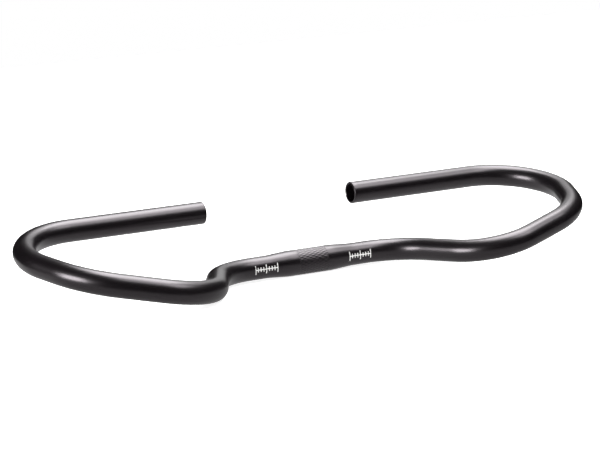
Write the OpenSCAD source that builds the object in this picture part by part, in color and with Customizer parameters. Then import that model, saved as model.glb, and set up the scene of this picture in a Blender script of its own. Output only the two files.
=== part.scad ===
// Trekking handlebar, the butterfly kind: one aluminium tube, bent four times on each side
// and swelled in the middle where the stem clamps it. Millimetres.
// The origin is the middle of the clamp seat. +X runs along the seat, -Y is the front
// of the bicycle, +Y the rider, +Z up.

/* [Tube] */
// Outside diameter of the tube, which the grips and the levers fit
tube_d = 22.2; // [20:0.1:24]
// Thickness of the tube's wall
wall = 2; // [1.2:0.1:3]
// How much the wall thins on each side where the tube is drawn round a bend
draw_down = 0.02; // [0.01:0.01:0.1]

/* [Clamp seat] */
// Diameter of the swelled seat
seat_d = 25.4; // [24.4:0.1:31.8]
// Length of the seat at its full diameter
seat_len = 42; // [30:1:80]
// Thickness of the wall in the seat
seat_wall = 2.4; // [2:0.1:3.2]
// Length of the cone on each side of the seat, from corner to corner
cone_len = 22; // [16:1:50]
// Radius that blends the cone into the seat and into the tube
cone_blend_r = 80; // [20:5:120]
// Straight tube from the cone to the first bend
shoulder_len = 12.7; // [5:0.1:80]

/* [First bend, to the front] */
// Bend radius, to the middle of the tube
front_bend_r = 60; // [45:1:90]
// Angle that the tube turns through
front_bend_angle = 63; // [40:0.5:80]
// Straight tube after the bend
front_run = 34.5; // [10:0.5:90]

/* [Second bend, outwards] */
// Bend radius, to the middle of the tube
outward_bend_r = 60; // [45:1:90]
// Angle that the tube turns through
outward_bend_angle = 76.5; // [60:0.5:90]
// Turn of the bending plane before this bend, which lifts the outer part
outward_bend_lift = 13; // [0:0.5:25]
// Straight tube after the bend
outward_run = 38.5; // [10:0.5:90]

/* [Third bend, round the corner] */
// Bend radius, to the middle of the tube
corner_bend_r = 66; // [45:1:90]
// Angle that the tube turns through
corner_bend_angle = 54.5; // [30:0.5:70]
// Straight tube after the bend
corner_run = 21.5; // [5:0.5:60]

/* [Fourth bend, in to the grip] */
// Bend radius, to the middle of the tube
grip_bend_r = 66; // [45:1:90]
// Angle that the tube turns through
grip_bend_angle = 110.75; // [90:0.25:125]
// Turn of the bending plane before this bend, which lifts the grip
grip_bend_lift = 12.25; // [0:0.25:25]
// Straight tube that the grip slides over
grip_len = 141; // [90:1:180]

/* [Open ends] */
// Radius of the outer edge at each open end
end_round_r = 0.8; // [0.2:0.1:1.1]
// Chamfer of the inner edge at each open end
end_chamfer = 0.5; // [0.1:0.1:0.8]

/* [Hidden] */
black_anodised = "#242327";
circle_facets = 96;
bend_facets = 360;
blend_steps = 4;
end_steps = 6;
// Each straight length eases down over this distance inside the thinner bend beside it
lap = 0.5;
tube_r = tube_d / 2;
bore_r = tube_r - wall;
seat_r = seat_d / 2;
seat_bore_r = seat_r - seat_wall;

// Points of an arc: its centre, radius, first and last angle, and the number of steps
function arc(centre, r, from, to, steps) =
    [for (i = [0 : steps]) let (a = from + (to - from) * i / steps) centre + r * [cos(a), sin(a)]];

function reversed(list) = [for (i = [len(list) - 1 : -1 : 0]) list[i]];

// Profiles are lists of [radius, distance]. This is the mirror image of one about distance 0.
function mirrored(points) = reversed([for (p = points) [p.x, -p.y]]);
function both_sides(points) = concat(mirrored(points), points);

// The end of a straight length: from full size at a distance, it runs on into the bend and
// eases past the bend's surface, outside or in the bore
function outer_ease(at) = [[tube_r, at], [tube_r - 2 * draw_down, at + lap]];
function bore_ease(at) = [[bore_r, at], [bore_r + 2 * draw_down, at + lap]];

// Slope of a cone that falls from the seat's radius to the tube's
function cone_angle(seat, tube) = atan((seat - tube) / cone_len);

// How far a blend reaches along the tube from the cone's corner
function blend_reach(seat, tube) = cone_blend_r * tan(cone_angle(seat, tube) / 2);

// The cone's first corner lies where the outer blend leaves the seat at its full length
cone_start = seat_len / 2 + blend_reach(seat_r, tube_r);
cone_end = cone_start + cone_len;
half_middle = cone_end + blend_reach(seat_r, tube_r) + shoulder_len;

// One side of the swelling, from the seat outwards: an arc that falls away from the seat,
// the cone, and an arc that settles on the tube
function swelling(seat, tube) =
    let (slope = cone_angle(seat, tube), reach = blend_reach(seat, tube))
    concat(
        arc([seat - cone_blend_r, cone_start - reach], cone_blend_r, 0, slope, blend_steps),
        arc([tube + cone_blend_r, cone_end + reach], cone_blend_r, 180 + slope, 180, blend_steps)
    );

// Turns the wall between an outer and a bore profile about the X axis
module turned(outside, inside) {
    rotate([0, 90, 0]) rotate_extrude($fn = circle_facets)
        polygon(concat(outside, reversed(inside)));
}

// The seat, its two cones and the straight tube up to the first bends, as one turning
module middle() {
    turned(
        both_sides(concat(swelling(seat_r, tube_r), outer_ease(half_middle))),
        both_sides(concat(swelling(seat_bore_r, bore_r), bore_ease(half_middle)))
    );
}

// A straight length along +X. What follows starts at its far end.
module run(length) {
    translate([length / 2, 0, 0]) turned(both_sides(outer_ease(length / 2)), both_sides(bore_ease(length / 2)));
    translate([length, 0, 0]) children();
}

// The ring of wall that a bend sweeps, a little thinner than the straight tube's
module bend_section() {
    difference() {
        circle(r = tube_r - draw_down, $fn = circle_facets);
        circle(r = bore_r + draw_down, $fn = circle_facets);
    }
}

// A bend that starts along +X and turns towards +Y, or towards -Y where the angle is negative,
// after its plane has been lifted about the tube. What follows starts at its far end.
module bend(r, angle, lift = 0) {
    side = sign(angle);
    rotate([lift, 0, 0]) translate([0, side * r, 0]) {
        rotate_extrude(angle = abs(angle), start = side > 0 ? -90 : 90 + angle, $fn = bend_facets)
            translate([r, 0]) bend_section();
        rotate([0, 0, angle]) translate([0, -side * r, 0]) children();
    }
}

// The last straight length, with its open end rounded outside and chamfered inside
module grip_run() {
    rounded_edge = arc([tube_r - end_round_r, grip_len - end_round_r], end_round_r, 0, 90, end_steps);
    chamfered_edge = [[bore_r, grip_len - end_chamfer], [bore_r + end_chamfer, grip_len]];
    turned(
        concat(mirrored(outer_ease(0)), rounded_edge),
        concat(mirrored(bore_ease(0)), chamfered_edge)
    );
}

// Everything on the +X side of the middle, from the first bend to the open end
module side() {
    translate([half_middle, 0, 0])
        bend(front_bend_r, -front_bend_angle)
        run(front_run)
        bend(outward_bend_r, outward_bend_angle, outward_bend_lift)
        run(outward_run)
        bend(corner_bend_r, corner_bend_angle)
        run(corner_run)
        bend(grip_bend_r, grip_bend_angle, grip_bend_lift)
        grip_run();
}

module handlebar() {
    color(black_anodised) {
        middle();
        side();
        mirror([1, 0, 0]) side();
    }
}

handlebar();
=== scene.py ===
# %% [markdown]
# A trekking handlebar is a single aluminium tube. It is swelled in the middle for the stem,
# bent four times on each side and anodised black. This lesson dresses it in Blender.
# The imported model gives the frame: its size and place are fixed, and everything below is
# worked out in metres in that frame. +X runs across the bicycle, -Y to its front, +Z up.

# %% The frame
import math

import bpy
import numpy as np
from mathutils import Matrix, Quaternion, Vector


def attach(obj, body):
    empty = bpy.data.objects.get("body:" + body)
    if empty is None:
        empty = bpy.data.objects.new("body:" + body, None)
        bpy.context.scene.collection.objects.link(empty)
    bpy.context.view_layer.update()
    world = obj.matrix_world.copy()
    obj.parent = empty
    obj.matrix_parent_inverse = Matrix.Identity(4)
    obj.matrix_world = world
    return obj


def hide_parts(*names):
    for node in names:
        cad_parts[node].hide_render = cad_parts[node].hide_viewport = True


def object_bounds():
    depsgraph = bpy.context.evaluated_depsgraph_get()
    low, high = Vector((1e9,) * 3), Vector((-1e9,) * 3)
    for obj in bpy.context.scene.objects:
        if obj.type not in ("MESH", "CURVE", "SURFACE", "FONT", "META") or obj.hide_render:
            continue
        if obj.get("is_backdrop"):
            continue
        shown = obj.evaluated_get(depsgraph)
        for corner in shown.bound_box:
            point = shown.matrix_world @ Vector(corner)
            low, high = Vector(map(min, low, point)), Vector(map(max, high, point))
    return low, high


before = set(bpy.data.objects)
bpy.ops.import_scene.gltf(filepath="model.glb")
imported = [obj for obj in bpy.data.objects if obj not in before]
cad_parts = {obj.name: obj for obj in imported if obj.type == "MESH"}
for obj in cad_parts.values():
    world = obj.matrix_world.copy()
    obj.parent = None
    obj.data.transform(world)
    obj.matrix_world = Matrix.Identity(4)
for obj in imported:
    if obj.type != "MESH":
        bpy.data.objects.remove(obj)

cad_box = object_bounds()
scene = bpy.context.scene
MM = 0.001
print("nodes:", sorted(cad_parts), "box:", [[round(v, 4) for v in corner] for corner in cad_box])

# %% [markdown]
# The camera comes first, because everything else is judged through it. It was placed by
# matching the tube's outline: a long lens about two metres away, a little to the left of the
# bicycle's nose, just above the handlebar, and rolled by a few degrees. An aim point, two
# angles, a distance and a roll say this better than a matrix full of numbers would.

# %% The camera
IMAGE_W, IMAGE_H = 600, 450
SENSOR_W = 36.0
VIEW_AZIMUTH, VIEW_ELEVATION, VIEW_ROLL = math.radians(-27.15), math.radians(8.79), math.radians(-3.6)
VIEW_DISTANCE = 2.111
FOCAL_PX = 2151.5
SEAT_PX = (308.82, 260.43)


def add_camera():
    """Looks along the two angles, with the middle of the clamp seat at its pixel of the photo."""
    back = Vector((
        math.sin(VIEW_AZIMUTH) * math.cos(VIEW_ELEVATION),
        -math.cos(VIEW_AZIMUTH) * math.cos(VIEW_ELEVATION),
        math.sin(VIEW_ELEVATION),
    ))
    level_right = (-back).cross(Vector((0, 0, 1))).normalized()
    level_up = level_right.cross(-back)
    right = level_right * math.cos(VIEW_ROLL) + level_up * math.sin(VIEW_ROLL)
    up = level_up * math.cos(VIEW_ROLL) - level_right * math.sin(VIEW_ROLL)
    metres_per_px = VIEW_DISTANCE / FOCAL_PX
    across = (SEAT_PX[0] - IMAGE_W / 2) * metres_per_px
    down = (SEAT_PX[1] - IMAGE_H / 2) * metres_per_px
    place = back * VIEW_DISTANCE - right * across + up * down
    data = bpy.data.cameras.new("camera")
    data.sensor_width = SENSOR_W
    data.lens = FOCAL_PX * SENSOR_W / IMAGE_W
    data.clip_start, data.clip_end = 0.05, 200
    camera = bpy.data.objects.new("camera", data)
    camera.matrix_world = Matrix.Translation(place) @ Matrix((right, up, back)).transposed().to_4x4()
    scene.collection.objects.link(camera)
    return camera


scene.camera = add_camera()
place = scene.camera.matrix_world.translation
print("camera at", [round(v, 3) for v in place], "lens", round(scene.camera.data.lens, 1))

# %% [markdown]
# A handlebar is drawn as a list for the bending machine: a straight length, then the radius
# and angle of a bend, and how far its plane is lifted about the tube. Curves drawn by hand
# would wander off the true arcs, so the path here follows that list exactly.

# %% The bending list
TUBE_R, BORE_R = 11.1 * MM, 9.1 * MM
SEAT_R, SEAT_BORE_R = 12.7 * MM, 10.3 * MM
SEAT_HALF = 21 * MM
CONE_LEN, CONE_BLEND_R = 22 * MM, 80 * MM
CONE_SLOPE = math.atan((SEAT_R - TUBE_R) / CONE_LEN)
BLEND_REACH = CONE_BLEND_R * math.tan(CONE_SLOPE / 2)
CONE_START = SEAT_HALF + BLEND_REACH
CONE_END = CONE_START + CONE_LEN
SHOULDER_LEN = 12.7 * MM
GRIP_LEN = 141 * MM
BENDS = (  # straight before it, radius, angle to the rider's side, lift of its plane
    (CONE_END + BLEND_REACH + SHOULDER_LEN, 60 * MM, -63.0, 0.0),
    (34.5 * MM, 60 * MM, 76.5, 13.0),
    (38.5 * MM, 66 * MM, 54.5, 0.0),
    (21.5 * MM, 66 * MM, 110.75, 12.25),
)
HALF_LEN = sum(run + r * math.radians(abs(angle)) for run, r, angle, _ in BENDS) + GRIP_LEN
print("tube length", round(2 * HALF_LEN, 4), "m")

# %% [markdown]
# The path is a function: given distances from the middle, it gives the points there and two
# directions square to the tube. Those directions are only ever turned together with a bend,
# never about the tube, so a grid that is wrapped round them doesn't twist.


# %% The path of the tube
def turned(vectors, axis, angles):
    """Each vector turned about the axis by each angle: its part along the axis stays, and the
    rest goes round by cosine and sine."""
    c, s = np.cos(angles)[:, None, None], np.sin(angles)[:, None, None]
    along = vectors @ axis
    return vectors * c + np.cross(axis, vectors) * s + along[:, None] * axis * (1 - c)


def half_path(distance):
    """Points and [tangent, side, up] directions at distances from the middle, on the +X side:
    straight lengths go along the tangent, and arcs go round a centre that lies to the side."""
    points = np.zeros((len(distance), 3))
    axes = np.zeros((len(distance), 3, 3))
    place, fixed, plane = np.zeros(3), np.eye(3), np.eye(3)
    start = 0.0
    for run, radius, angle, lift in BENDS + ((GRIP_LEN + MM, 0, 0, 0),):
        on = (distance >= start) & (distance <= start + run)
        points[on] = place + np.outer(distance[on] - start, fixed[0])
        axes[on] = fixed
        place, start = place + run * fixed[0], start + run
        if not radius:
            break
        plane = turned(plane, plane[0], np.radians([lift]))[0]
        inward = plane[1] * math.copysign(1, angle)
        hinge = np.cross(plane[0], inward)
        sweep = math.radians(abs(angle))
        on = (distance >= start) & (distance <= start + radius * sweep)
        a = (distance[on] - start) / radius
        points[on] = place + radius * (np.outer(np.sin(a), plane[0]) + np.outer(1 - np.cos(a), inward))
        axes[on] = turned(fixed, hinge, a)
        place = place + radius * (math.sin(sweep) * plane[0] + (1 - math.cos(sweep)) * inward)
        fixed, plane = (turned(axes_now, hinge, np.array([sweep]))[0] for axes_now in (fixed, plane))
        start += radius * sweep
    return points, axes


def path(distance):
    """The whole tube: the -X side is the mirror image of the +X side."""
    points, axes = half_path(np.abs(distance))
    same = np.ones_like(distance)
    mirror = np.stack([np.where(distance < 0, -1.0, 1.0), same, same], 1)
    return points * mirror, axes * mirror[:, None, :]


tip, _ = path(np.array([HALF_LEN]))
print("right open end at", np.round(tip[0], 5))

# %% [markdown]
# The tube's wall is widest at the seat, then falls in a cone with rounded corners to the
# size that grips fit. One function with a few pieces gives any such radius, outside or in
# the bore. A point on the tube is then the path's point plus the radius, turned round the
# path by an angle: a surface with two parameters, distance and angle.


# %% The tube as a surface of distance and angle
def swelled(distance, seat, tube):
    """Seat radius, an arc off it, the cone, an arc onto the tube, and the tube's radius."""
    d = np.abs(distance)
    arc_len = CONE_BLEND_R * math.sin(CONE_SLOPE)
    settled = CONE_END + BLEND_REACH
    off_seat = seat - CONE_BLEND_R + np.sqrt(np.maximum(CONE_BLEND_R**2 - (d - SEAT_HALF) ** 2, 0))
    onto_tube = tube + CONE_BLEND_R - np.sqrt(np.maximum(CONE_BLEND_R**2 - (settled - d) ** 2, 0))
    cone = seat + (tube - seat) * (d - CONE_START) / CONE_LEN
    zones = [d <= SEAT_HALF, d < SEAT_HALF + arc_len, d < settled - arc_len, d < settled]
    return np.select(zones, [np.full_like(d, seat), off_seat, cone, onto_tube], tube)


def on_tube(distance, radius, angle):
    """Path point + radius * (side * cos(angle) + up * sin(angle)), for arrays of one shape.
    Angle 0 faces the rider, 90 degrees is the top and 180 degrees the front, at the seat."""
    flat = np.ravel(distance)
    points, axes = path(flat)
    a, r = np.ravel(angle)[:, None], np.ravel(radius)[:, None]
    return points + r * (axes[:, 1] * np.cos(a) + axes[:, 2] * np.sin(a))


def stations(coarse, fine):
    """Distances for rings from the middle to the grip: `fine` apart on bends, where the tube
    curves, and `coarse` apart on the straight lengths, which need few."""
    found, start = [0.0], 0.0
    for run, radius, angle, _ in BENDS + ((GRIP_LEN, 0, 0, 0),):
        for length, gap in ((run, coarse), (radius * math.radians(abs(angle)), fine)):
            if length:
                count = max(1, round(length / gap))
                found.extend(start + length * (np.arange(count) + 1) / count)
                start += length
    return np.array(found)


print("radius at the seat, on the cone and on the tube:",
      np.round(swelled(np.array([0, 0.035, 0.06]), SEAT_R, TUBE_R) / MM, 2), "mm")

# %% [markdown]
# The seat has a band of diamond knurl, which keeps the handlebar from turning in the stem.
# Rollers press two families of V grooves that cross at just under fifty degrees, so the
# diamonds are long. It could be a bump in the material, but the shape shows at the edge and
# catches the light, so it is real relief: a groove lies where either family's phase is close
# to a whole number.

# %% The knurl's relief
KNURL_HALF = 16 * MM
DIAMONDS_ROUND, DIAMONDS_LONG = 28, 5
GROOVE_DEPTH = 0.30 * MM
GROOVE_SHARE = 0.42
SAMPLES_ROUND, SAMPLES_LONG = 12, 18


def groove(phase):
    """1 in the middle of a groove, falling in a straight line to 0 at GROOVE_SHARE of a pitch."""
    from_line = np.abs(phase - np.round(phase))
    return np.clip(1 - from_line / GROOVE_SHARE, 0, 1)


def knurled_radius(distance, angle):
    """The seat's radius less the deeper of the two grooves, whose phases are the turns round
    the tube plus and minus the pitches along it. The relief is nil at the band's edges."""
    turns = angle / (2 * math.pi) * DIAMONDS_ROUND
    pitches = distance / (2 * KNURL_HALF) * DIAMONDS_LONG
    depth = np.maximum(groove(turns + pitches), groove(turns - pitches))
    inside = np.abs(distance) < KNURL_HALF * 0.999
    return SEAT_R - GROOVE_DEPTH * depth * inside


print("diamond:", round(2 * math.pi * SEAT_R / DIAMONDS_ROUND / MM, 2), "by",
      round(2 * KNURL_HALF / DIAMONDS_LONG / MM, 2), "mm")

# %% [markdown]
# The open ends are cut square, rounded outside and chamfered inside. The profile of the wall
# runs from the right edge of the knurl, out along the tube, round the end, back through the
# bore, round the left end and up to the left edge of the knurl. Swept round the path, it
# closes the tube without a cap, a pole or a seam.

# %% The wall's profile
END_ROUND, END_CHAMFER = 0.8 * MM, 0.5 * MM
EDGE_STEPS = 6
STITCH_GAP = 0.6 * MM
OUTER_GAPS = {"coarse": 6 * MM, "fine": 1.7 * MM}
BORE_GAPS = {"coarse": 12 * MM, "fine": 3.4 * MM}
SEAT_RINGS, SWELL_RINGS = 4, 15
CLEAR = 2 * MM


def end_profile():
    """[distance, radius] round the right end: a quarter circle, the flat cut and the chamfer."""
    a = np.linspace(0, math.pi / 2, EDGE_STEPS + 1)
    out, up = END_ROUND * np.sin(a), END_ROUND * np.cos(a)
    rounded = np.stack([HALF_LEN - END_ROUND + out, TUBE_R - END_ROUND + up], 1)
    chamfer = np.array([[HALF_LEN, BORE_R + END_CHAMFER], [HALF_LEN - END_CHAMFER, BORE_R]])
    return np.concatenate([rounded, chamfer])


def wall_profile():
    """The closed profile of the wall, less the knurled band."""
    near = np.linspace(KNURL_HALF + STITCH_GAP, SEAT_HALF, SEAT_RINGS)
    swell = np.linspace(SEAT_HALF, CONE_END + BLEND_REACH, SWELL_RINGS)[1:]
    outer = stations(**OUTER_GAPS)
    beyond = (outer > swell[-1] + CLEAR) & (outer < HALF_LEN - CLEAR)
    outer = np.concatenate([near, swell, outer[beyond]])
    bore = stations(**BORE_GAPS)
    bore = np.concatenate([bore[bore > swell[-1] + CLEAR][:-1], swell[::2], [0]])
    bore = np.sort(bore)[::-1]
    right = np.stack([outer, swelled(outer, SEAT_R, TUBE_R)], 1)
    through = np.stack([bore, swelled(bore, SEAT_BORE_R, BORE_R)], 1)
    half = np.concatenate([right, end_profile(), through])
    other = half[::-1] * (-1, 1)
    return np.concatenate([half, other[1:]])


profile = wall_profile()
print("profile points:", len(profile))

# %% [markdown]
# The mesh is two grids. The wall has 84 points round. The knurl needs four times as many, and
# one row of longer polygons on each side joins the two, so that the bar stays one closed
# piece, as it is in metal. Only whole arrays are handled here, and numpy counts out the faces.


# %% The mesh of the bar
def ring_faces(rows, columns, first):
    """Quads of a grid whose columns go round: corner (i, j) joins to the next row and column."""
    i, j = np.meshgrid(np.arange(rows - 1), np.arange(columns), indexing="ij")
    k = (j + 1) % columns
    corners = [i * columns + j, (i + 1) * columns + j, (i + 1) * columns + k, i * columns + k]
    return np.stack(corners, -1).reshape(-1, 4) + first


def stitch_faces(coarse_first, fine_first, columns, ratio, flip):
    """One polygon for each coarse column: its two corners and the fine row's ratio + 1 points."""
    j = np.arange(columns)
    fine = (j[:, None] * ratio + np.arange(ratio + 1)) % (columns * ratio) + fine_first
    coarse = np.stack([(j + 1) % columns, j], 1) + coarse_first
    faces = np.concatenate([fine, coarse], 1)
    return faces[:, ::-1] if flip else faces


def new_piece(name, points, face_groups, sharp_deg):
    """A mesh object at the origin from points and lists of faces, smooth but for its edges."""
    mesh = bpy.data.meshes.new(name)
    sizes = np.concatenate([np.full(len(g), g.shape[1]) for g in face_groups])
    loops = np.concatenate([g.ravel() for g in face_groups])
    mesh.vertices.add(len(points))
    mesh.vertices.foreach_set("co", points.astype(np.float32).ravel())
    mesh.loops.add(len(loops))
    mesh.loops.foreach_set("vertex_index", loops.astype(np.int32))
    mesh.polygons.add(len(sizes))
    mesh.polygons.foreach_set("loop_start", (np.cumsum(sizes) - sizes).astype(np.int32))
    mesh.update(calc_edges=True)
    mesh.validate()
    mesh.shade_smooth()
    mesh.set_sharp_from_angle(angle=math.radians(sharp_deg))
    piece = bpy.data.objects.new(name, mesh)
    scene.collection.objects.link(piece)
    return piece


def add_places(mesh, distance, radius, angle):
    """Stores (distance along, r cos, r sin) on each vertex, for patterns that run along the tube."""
    place = mesh.attributes.new("tube_place", "FLOAT_VECTOR", "POINT")
    values = np.stack([distance, radius * np.cos(angle), radius * np.sin(angle)], -1)
    place.data.foreach_set("vector", values.astype(np.float32).ravel())


COLUMNS = 3 * DIAMONDS_ROUND
FINE_COLUMNS = DIAMONDS_ROUND * SAMPLES_ROUND


def make_bar():
    """The wall's grid and the knurl's grid, joined by two rows of polygons."""
    wall_angles = np.arange(COLUMNS) * 2 * math.pi / COLUMNS
    wall_d, wall_a = np.meshgrid(profile[:, 0], wall_angles, indexing="ij")
    wall_r = np.broadcast_to(profile[:, 1:], wall_d.shape)
    rows = DIAMONDS_LONG * SAMPLES_LONG + 1
    knurl_d, knurl_a = np.meshgrid(np.linspace(-KNURL_HALF, KNURL_HALF, rows),
                                   np.arange(FINE_COLUMNS) * 2 * math.pi / FINE_COLUMNS, indexing="ij")
    knurl_r = knurled_radius(knurl_d, knurl_a)
    d, r, a = (np.concatenate([w.ravel(), k.ravel()])
               for w, k in ((wall_d, knurl_d), (wall_r, knurl_r), (wall_a, knurl_a)))
    knurl_first = wall_d.size
    last_wall_row = (len(profile) - 1) * COLUMNS
    last_knurl_row = knurl_first + (rows - 1) * FINE_COLUMNS
    ratio = FINE_COLUMNS // COLUMNS
    faces = [
        ring_faces(len(profile), COLUMNS, 0)[:, ::-1],
        ring_faces(rows, FINE_COLUMNS, knurl_first)[:, ::-1],
        stitch_faces(last_wall_row, knurl_first, COLUMNS, ratio, flip=True),
        stitch_faces(0, last_knurl_row, COLUMNS, ratio, flip=False),
    ]
    bar = new_piece("bar", on_tube(d, r, a), faces, sharp_deg=28)
    add_places(bar.data, d, r, a)
    return bar


bar = make_bar()
triangles = sum(len(p.vertices) - 2 for p in bar.data.polygons)
print("bar:", len(bar.data.vertices), "vertices,", triangles, "triangles")

# %% [markdown]
# The front of the bar carries a small printed mark on each side of the seat. Here it is a
# plain centring scale, which helps to clamp the bar in its middle: a line along the tube with
# a tick every three millimetres, and every fourth tick longer. Ink is a film, so each line is
# a thin closed slab that follows the tube, a few hundredths of a millimetre proud.

# %% The printed scale
SCALE_START = 40 * MM
TICKS, TICK_PITCH = 9, 3 * MM
LONG_TICK_EVERY = 4
TICK_LONG, TICK_SHORT = 9 * MM, 4.5 * MM
LINE_W = 0.8 * MM
HAIR_GAP = 0.02 * MM
INK = 0.03 * MM
SLAB_STEP_LONG, SLAB_STEP_ROUND = 2 * MM, 0.7 * MM
FRONT = math.pi


def slab_on_tube(start, end, across):
    """A closed slab between two distances, `across` wide round the front of the tube: two grids
    of one shape, INK above and INK below the surface, joined round their edge."""
    long = 2 + round(abs(end - start) / SLAB_STEP_LONG)
    wide = 2 + round(across / SLAB_STEP_ROUND)
    i, j = np.meshgrid(np.linspace(start, end, long), np.linspace(-0.5, 0.5, wide), indexing="ij")
    surface = swelled(i, SEAT_R, TUBE_R)
    points = [on_tube(i, surface + lift, FRONT + j * across / TUBE_R) for lift in (INK, -INK)]
    index = np.arange(long * wide).reshape(long, wide)
    corners = [index[:-1, :-1], index[:-1, 1:], index[1:, 1:], index[1:, :-1]]
    upper = np.stack(corners, -1).reshape(-1, 4)
    rim = np.concatenate([index[0, :-1], index[:-1, -1], index[-1, :0:-1], index[:0:-1, 0]])
    after = np.roll(rim, -1)
    lower = upper[:, ::-1] + index.size
    side = np.stack([after, rim, rim + index.size, after + index.size], -1)
    return np.concatenate(points), np.concatenate([upper, lower, side])


def scale_lines():
    """[start, end, across] of the ticks and of the stretches of line between them. A gap too
    fine to see keeps each slab a closed shape of its own."""
    lines = []
    for k in range(TICKS):
        middle = SCALE_START + k * TICK_PITCH
        tall = TICK_SHORT if k % LONG_TICK_EVERY else TICK_LONG
        lines.append((middle - LINE_W / 2, middle + LINE_W / 2, tall))
        if k < TICKS - 1:
            off_tick = LINE_W / 2 + HAIR_GAP
            lines.append((middle + off_tick, middle + TICK_PITCH - off_tick, LINE_W))
    return lines


def make_scale():
    """The same lines on each side of the seat, all in one piece."""
    points, faces, count = [], [], 0
    for side in (-1, 1):
        for start, end, across in scale_lines():
            p, f = slab_on_tube(side * start, side * end, across)
            faces.append((f if side > 0 else f[:, ::-1]) + count)
            points.append(p)
            count += len(p)
    return new_piece("alignment_scale", np.concatenate(points), [np.concatenate(faces)], sharp_deg=40)


scale = make_scale()
print("scale:", len(scale.data.polygons), "faces")

# %% [markdown]
# Black anodising is a clear, hard oxide that is dyed. The tube is etched first, which leaves
# a very fine satin grain, and it was drawn through a die, which leaves faint lines along it.
# The shader is therefore a nearly black dielectric: its colour hardly shows, and the look is
# made by its gloss. The grain reads the object's own metres, and the drawn lines read the
# place along and round the tube that the mesh stores.


# %% Small helpers for materials
def new_material(name):
    material = bpy.data.materials.new(name)
    material.use_nodes = True
    material.node_tree.nodes.clear()
    return material, material.node_tree


def add(tree, kind, values=None, **settings):
    """A node with its settings and the values of its inputs."""
    node = tree.nodes.new(kind)
    for key, value in settings.items():
        setattr(node, key, value)
    for key, value in (values or {}).items():
        node.inputs[key].default_value = value
    return node


def scaled_noise(tree, vector, scale, detail, size=(1, 1, 1)):
    """Noise on a vector that is first stretched by size, one number for each axis."""
    mapping = add(tree, "ShaderNodeMapping", {"Scale": size})
    noise = add(tree, "ShaderNodeTexNoise", {"Scale": scale, "Detail": detail, "Roughness": 0.55})
    tree.links.new(vector, mapping.inputs["Vector"])
    tree.links.new(mapping.outputs["Vector"], noise.inputs["Vector"])
    return noise.outputs["Fac"]


def ranged(tree, value, low, high):
    """A value from 0.3 to 0.7, where noise mostly lies, carried to low to high."""
    ends = {"From Min": 0.3, "From Max": 0.7, "To Min": low, "To Max": high}
    node = add(tree, "ShaderNodeMapRange", ends)
    tree.links.new(value, node.inputs["Value"])
    return node.outputs["Result"]


# %% The satin black anodising
GLOSS_TINT = (1.0, 0.92, 0.975, 1)


def anodised_black():
    material, tree = new_material("satin_black_anodised")
    link = tree.links.new
    metres = add(tree, "ShaderNodeTexCoord").outputs["Object"]
    place = add(tree, "ShaderNodeAttribute", attribute_name="tube_place").outputs["Vector"]
    etched = scaled_noise(tree, metres, 2600, 3)
    drawn = scaled_noise(tree, place, 1, 4, size=(14, 1500, 1500))
    dye = scaled_noise(tree, metres, 22, 2)

    colour = add(tree, "ShaderNodeMix", data_type="RGBA")
    colour.inputs["A"].default_value = (0.0026, 0.0018, 0.0023, 1)
    colour.inputs["B"].default_value = (0.0038, 0.0027, 0.0034, 1)
    link(ranged(tree, dye, 0, 1), colour.inputs["Factor"])

    gloss = add(tree, "ShaderNodeMath", operation="ADD")
    link(ranged(tree, etched, 0.28, 0.33), gloss.inputs[0])
    link(ranged(tree, drawn, -0.02, 0.02), gloss.inputs[1])

    lines = add(tree, "ShaderNodeBump", {"Strength": 0.25, "Distance": 0.012 * MM})
    grain = add(tree, "ShaderNodeBump", {"Strength": 0.5, "Distance": 0.012 * MM})
    link(drawn, lines.inputs["Height"])
    link(etched, grain.inputs["Height"])
    link(lines.outputs["Normal"], grain.inputs["Normal"])

    shader = add(tree, "ShaderNodeBsdfPrincipled", {"IOR": 1.6, "Specular Tint": GLOSS_TINT})
    link(colour.outputs["Result"], shader.inputs["Base Color"])
    link(gloss.outputs["Value"], shader.inputs["Roughness"])
    link(grain.outputs["Normal"], shader.inputs["Normal"])
    link(shader.outputs["BSDF"], add(tree, "ShaderNodeOutputMaterial").inputs["Surface"])
    return material


bar.data.materials.append(anodised_black())
print("material:", bar.data.materials[0].name)

# %% [markdown]
# Pad-printed ink is matt and not quite even: it lies thinner where the pad lifted first.
# A little noise in its brightness and roughness is enough at this size.


# %% The ink
def pale_ink():
    material, tree = new_material("pad_printed_ink")
    link = tree.links.new
    metres = add(tree, "ShaderNodeTexCoord").outputs["Object"]
    mottle = scaled_noise(tree, metres, 900, 3)
    colour = add(tree, "ShaderNodeMix", data_type="RGBA")
    colour.inputs["A"].default_value = (0.62, 0.62, 0.60, 1)
    colour.inputs["B"].default_value = (0.80, 0.80, 0.79, 1)
    link(ranged(tree, mottle, 0, 1), colour.inputs["Factor"])
    shader = add(tree, "ShaderNodeBsdfPrincipled", {"IOR": 1.48})
    link(colour.outputs["Result"], shader.inputs["Base Color"])
    link(ranged(tree, mottle, 0.62, 0.5), shader.inputs["Roughness"])
    link(shader.outputs["BSDF"], add(tree, "ShaderNodeOutputMaterial").inputs["Surface"])
    return material


scale.data.materials.append(pale_ink())
print("material:", scale.data.materials[0].name)

# %% [markdown]
# The bar lies on a plain white table. A satin black tube shows its surroundings more than
# its own colour, and the ground has two jobs here that don't agree: behind the bar it has to
# be white all over, but in the tube it has to stop just in front of the bar, which is what
# keeps the middle of the tube black. So the floor is hidden from the rays that a mirror sends
# out, and a smaller, softly glowing table top that only those rays meet lies on it.

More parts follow.
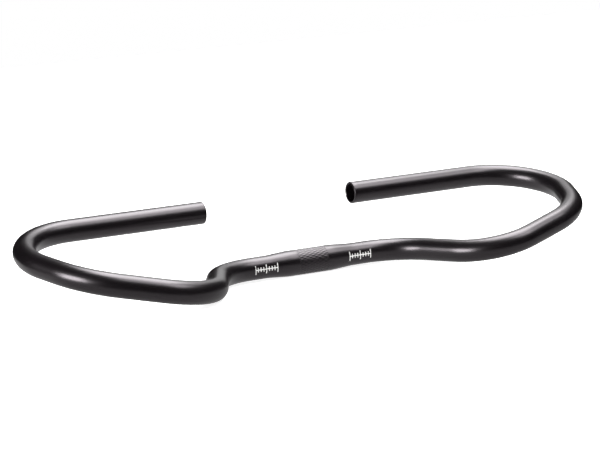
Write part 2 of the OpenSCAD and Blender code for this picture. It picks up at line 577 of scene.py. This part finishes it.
# %% The floor and the mirrored table top
FLOOR_HALF = 3.0
FLOOR_Z = cad_box[0][2]
FLOOR_WHITE = (0.80, 0.80, 0.80, 1)
FLOOR_GLOW = 0.80
TABLE_X, TABLE_FRONT, TABLE_BACK = 0.50, -0.16, 0.50
TABLE_LIFT = 0.1 * MM
TABLE_FADE_Y = (-0.06, 0.16)
TABLE_GLOW = (0.50, 0.95)


def level_card(name, x_half, y_front, y_back, height):
    """A level rectangle, one face, at a height."""
    corners = np.array([[-x_half, y_front], [x_half, y_front], [x_half, y_back], [-x_half, y_back]])
    points = np.column_stack([corners, np.full(4, height)])
    card = new_piece(name, points, [np.array([[0, 1, 2, 3]])], sharp_deg=30)
    card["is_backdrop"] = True
    return card


def white_table():
    """Matt white that also glows, as a light table does, so that shadows on it stay pale."""
    material, tree = new_material("white_table")
    shader = add(tree, "ShaderNodeBsdfPrincipled", {"Base Color": FLOOR_WHITE, "Roughness": 0.9})
    shader.inputs["Emission Color"].default_value = (1, 1, 1, 1)
    shader.inputs["Emission Strength"].default_value = FLOOR_GLOW
    tree.links.new(shader.outputs["BSDF"], add(tree, "ShaderNodeOutputMaterial").inputs["Surface"])
    return material


def fading_glow():
    """A glow that grows from the front of the card to the back, by the card's own Y."""
    material, tree = new_material("fading_glow")
    link = tree.links.new
    split = add(tree, "ShaderNodeSeparateXYZ")
    fade = add(tree, "ShaderNodeMapRange", {
        "From Min": TABLE_FADE_Y[0], "From Max": TABLE_FADE_Y[1],
        "To Min": TABLE_GLOW[0], "To Max": TABLE_GLOW[1],
    })
    glow = add(tree, "ShaderNodeEmission")
    link(add(tree, "ShaderNodeTexCoord").outputs["Object"], split.inputs["Vector"])
    link(split.outputs["Y"], fade.inputs["Value"])
    link(fade.outputs["Result"], glow.inputs["Strength"])
    link(glow.outputs["Emission"], add(tree, "ShaderNodeOutputMaterial").inputs["Surface"])
    return material


floor = level_card("floor", FLOOR_HALF, -FLOOR_HALF, FLOOR_HALF, FLOOR_Z)
floor.data.materials.append(white_table())
floor.visible_glossy = False

table_top = level_card("mirrored_table_top", TABLE_X, TABLE_FRONT, TABLE_BACK, FLOOR_Z + TABLE_LIFT)
table_top.data.materials.append(fading_glow())
table_top.visible_camera = table_top.visible_diffuse = table_top.visible_shadow = False
print("floor at", round(FLOOR_Z, 4))

# %% [markdown]
# Five soft panels light the bar. On a tube, a panel shows as a streak that runs along it, and
# the streak's place and width tell where the panel stands and how large it is. Round a matt
# object the lights could be placed by eye, but here each streak can be measured. The panels
# are therefore given by their direction and their size in degrees, as the bar sees them, and
# their distance is one shared number. A glossy black needs strong panels, because it sends
# back only about a twentieth of the light that meets it head on.


# %% The lights
AIM = Vector((0, 0, 0.02))
PANEL_DISTANCE = 3.0
WHITE_GROUND = 1.0
ROOM_LEVEL = 0.01


def soft_panel(name, azimuth, elevation, wide, high, roll, radiance):
    """A rectangle that faces the bar, given in degrees as the bar sees it: a side is
    2 * distance * tan(half its angle). Its power follows from its radiance:
    power = radiance * area * pi, because a flat panel shines as a cosine."""
    a, e = math.radians(azimuth), math.radians(elevation)
    away = Vector((math.sin(a) * math.cos(e), -math.cos(a) * math.cos(e), math.sin(e)))
    data = bpy.data.lights.new(name, "AREA")
    data.shape = "RECTANGLE"
    data.size, data.size_y = (2 * PANEL_DISTANCE * math.tan(math.radians(d) / 2) for d in (wide, high))
    data.energy = radiance * data.size * data.size_y * math.pi
    light = bpy.data.objects.new(name, data)
    turn = away.to_track_quat("Z", "Y") @ Quaternion((0, 0, 1), math.radians(roll))
    light.location = AIM + away * PANEL_DISTANCE
    light.rotation_euler = turn.to_euler()
    light.visible_camera = False
    scene.collection.objects.link(light)
    return light


def add_world(seen, shining):
    """White where the camera looks past the floor, and a dim room for all else."""
    world = bpy.data.worlds.new("studio")
    world.use_nodes = True
    tree = world.node_tree
    tree.nodes.clear()
    white = add(tree, "ShaderNodeBackground", {"Color": (1, 1, 1, 1), "Strength": seen})
    room = add(tree, "ShaderNodeBackground", {"Color": (1, 1, 1, 1), "Strength": shining})
    choice = add(tree, "ShaderNodeMixShader")
    link = tree.links.new
    link(add(tree, "ShaderNodeLightPath").outputs["Is Camera Ray"], choice.inputs[0])
    link(room.outputs["Background"], choice.inputs[1])
    link(white.outputs["Background"], choice.inputs[2])
    link(choice.outputs["Shader"], add(tree, "ShaderNodeOutputWorld").inputs["Surface"])
    scene.world = world


add_world(WHITE_GROUND, ROOM_LEVEL)
panels = [
    soft_panel("key_softbox", 119, 71, 42, 29, -51, 9.3),
    soft_panel("wide_overhead", 96, 63, 79, 39, -16, 2.15),
    soft_panel("front_left_softbox", -74.7, 10.8, 33, 25, 0, 16.4),
    soft_panel("back_strip", 145, 36, 21, 73, 0, 0.95),
    soft_panel("right_fill", 48, 52, 28, 22, 0, 4.0),
]
scene.view_settings.view_transform = "Standard"
print("lights:", [p.name for p in panels])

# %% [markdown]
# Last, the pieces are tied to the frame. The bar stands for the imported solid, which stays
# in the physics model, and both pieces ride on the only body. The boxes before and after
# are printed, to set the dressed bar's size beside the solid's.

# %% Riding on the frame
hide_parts("handlebar")
for piece in (bar, scale):
    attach(piece, "root")

dressed_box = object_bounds()
sizes = {"cad": [list(map(float, c)) for c in cad_box], "visual": [list(map(float, c)) for c in dressed_box]}
for name, box in sizes.items():
    print(name, "box", np.round(box, 4).tolist())
